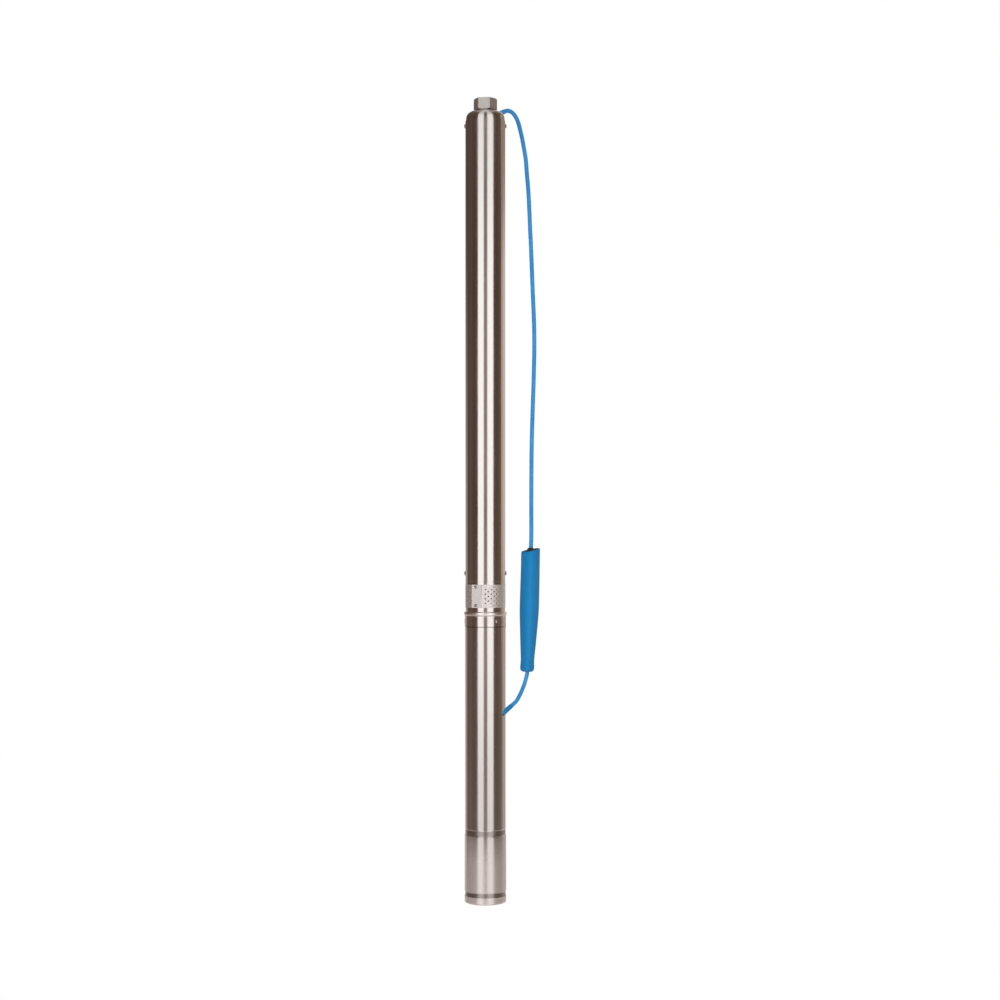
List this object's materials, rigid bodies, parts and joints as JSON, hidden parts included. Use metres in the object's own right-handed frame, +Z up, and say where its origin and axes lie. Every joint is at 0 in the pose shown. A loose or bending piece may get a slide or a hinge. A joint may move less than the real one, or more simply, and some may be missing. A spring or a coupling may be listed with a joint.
{
  "type": "borehole submersible pump",
  "caption": "Slim stainless borehole pump: hex outlet head with check valve, multistage pump tube, perforated intake strainer, oil-filled motor and blue spliced cable.",
  "frame": {"origin": "centre of the discharge mouth, on the pump's axis", "axes": "+Z up along the pump's axis, out of the discharge; -Y is the front, with the cable on the +X side"},
  "size_m": [0.1438, 0.1041, 1.502],
  "materials": {
    "polished_steel": "mirror-polished stainless steel",
    "satin_steel": "satin stainless steel",
    "cast_steel": "machined stainless casting",
    "sheet_steel": "bright perforated stainless sheet",
    "screw_steel": "stainless fastener",
    "shaft_steel": "ground stainless shaft",
    "bearing_steel": "polished bearing steel",
    "lamination": "stacked electrical steel",
    "copper": "varnished copper wire",
    "cast_aluminium": "cast rotor cage",
    "brass": "machined brass",
    "stage_plastic": "glass-filled engineering plastic",
    "impeller_plastic": "natural engineering plastic",
    "black_rubber": "nitrile rubber",
    "ceramic": "seal ceramic",
    "carbon": "seal carbon",
    "cable_blue": "blue submersible cable sheath",
    "splice_blue": "blue shrink tube"
  },
  "bodies": {
    "root": {"discharge_head": "cast_steel", "head_o_ring": "black_rubber", "valve_seat": "brass", "valve_guide": "stage_plastic", "top_bearing_spider": "stage_plastic", "top_bearing_bush": "black_rubber", "pump_tube": "polished_steel", "tube_screws": "screw_steel", "diffusers": "stage_plastic", "stage_plates": "sheet_steel", "suction_bracket": "cast_steel", "suction_bush": "black_rubber", "strainer": "sheet_steel", "strainer_screws": "screw_steel", "motor_top_bracket": "cast_steel", "bracket_screws": "screw_steel", "bracket_o_ring": "black_rubber", "seal_seat": "ceramic", "upper_bearing_outer_ring": "bearing_steel", "motor_tube": "polished_steel", "stator_core": "lamination", "stator_winding": "copper", "lower_bearing_outer_ring": "bearing_steel", "lower_housing": "satin_steel", "housing_o_ring": "black_rubber", "diaphragm": "black_rubber", "bottom_cover": "satin_steel", "cover_screws": "screw_steel", "motor_cable_gland": "cable_blue", "motor_lead": "cable_blue", "cable_splice": "splice_blue", "drop_cable": "cable_blue", "head_cable_gland": "cable_blue"},
    "rotor": {"pump_shaft": "shaft_steel", "impellers": "impeller_plastic", "impeller_nut": "screw_steel", "shaft_coupling": "shaft_steel", "motor_shaft": "shaft_steel", "rotor_core": "lamination", "rotor_cage": "cast_aluminium", "sand_guard": "black_rubber", "seal_ring": "carbon", "upper_bearing_inner_ring": "bearing_steel", "lower_bearing_inner_ring": "bearing_steel"},
    "upper_bearing_set": {"upper_bearing_balls": "bearing_steel", "upper_bearing_cage": "brass"},
    "lower_bearing_set": {"lower_bearing_balls": "bearing_steel", "lower_bearing_cage": "brass"},
    "valve": {"valve_poppet": "stage_plastic", "valve_gasket": "black_rubber", "valve_spring": "shaft_steel"}
  },
  "joints": [
    {"name": "rotor_spin", "type": "hinge", "parent": "root", "child": "rotor", "pos_m": [0, 0, -0.7], "axis": [0, 0, 1], "continuous": true},
    {"name": "upper_bearing_spin", "type": "hinge", "parent": "root", "child": "upper_bearing_set", "pos_m": [0, 0, -1.0045], "axis": [0, 0, 1], "continuous": true},
    {"name": "lower_bearing_spin", "type": "hinge", "parent": "root", "child": "lower_bearing_set", "pos_m": [0, 0, -1.379], "axis": [0, 0, 1], "continuous": true},
    {"name": "valve_lift", "type": "slide", "parent": "root", "child": "valve", "axis": [0, 0, 1], "range_m": [0, 0.008], "stiffness_N_per_m": 250, "springref_m": -0.004, "deforming": ["valve_spring"]}
  ],
  "couplings": [
    {"joint": "upper_bearing_spin", "follows": "rotor_spin", "ratio": 0.3816},
    {"joint": "lower_bearing_spin", "follows": "rotor_spin", "ratio": 0.3816}
  ]
}
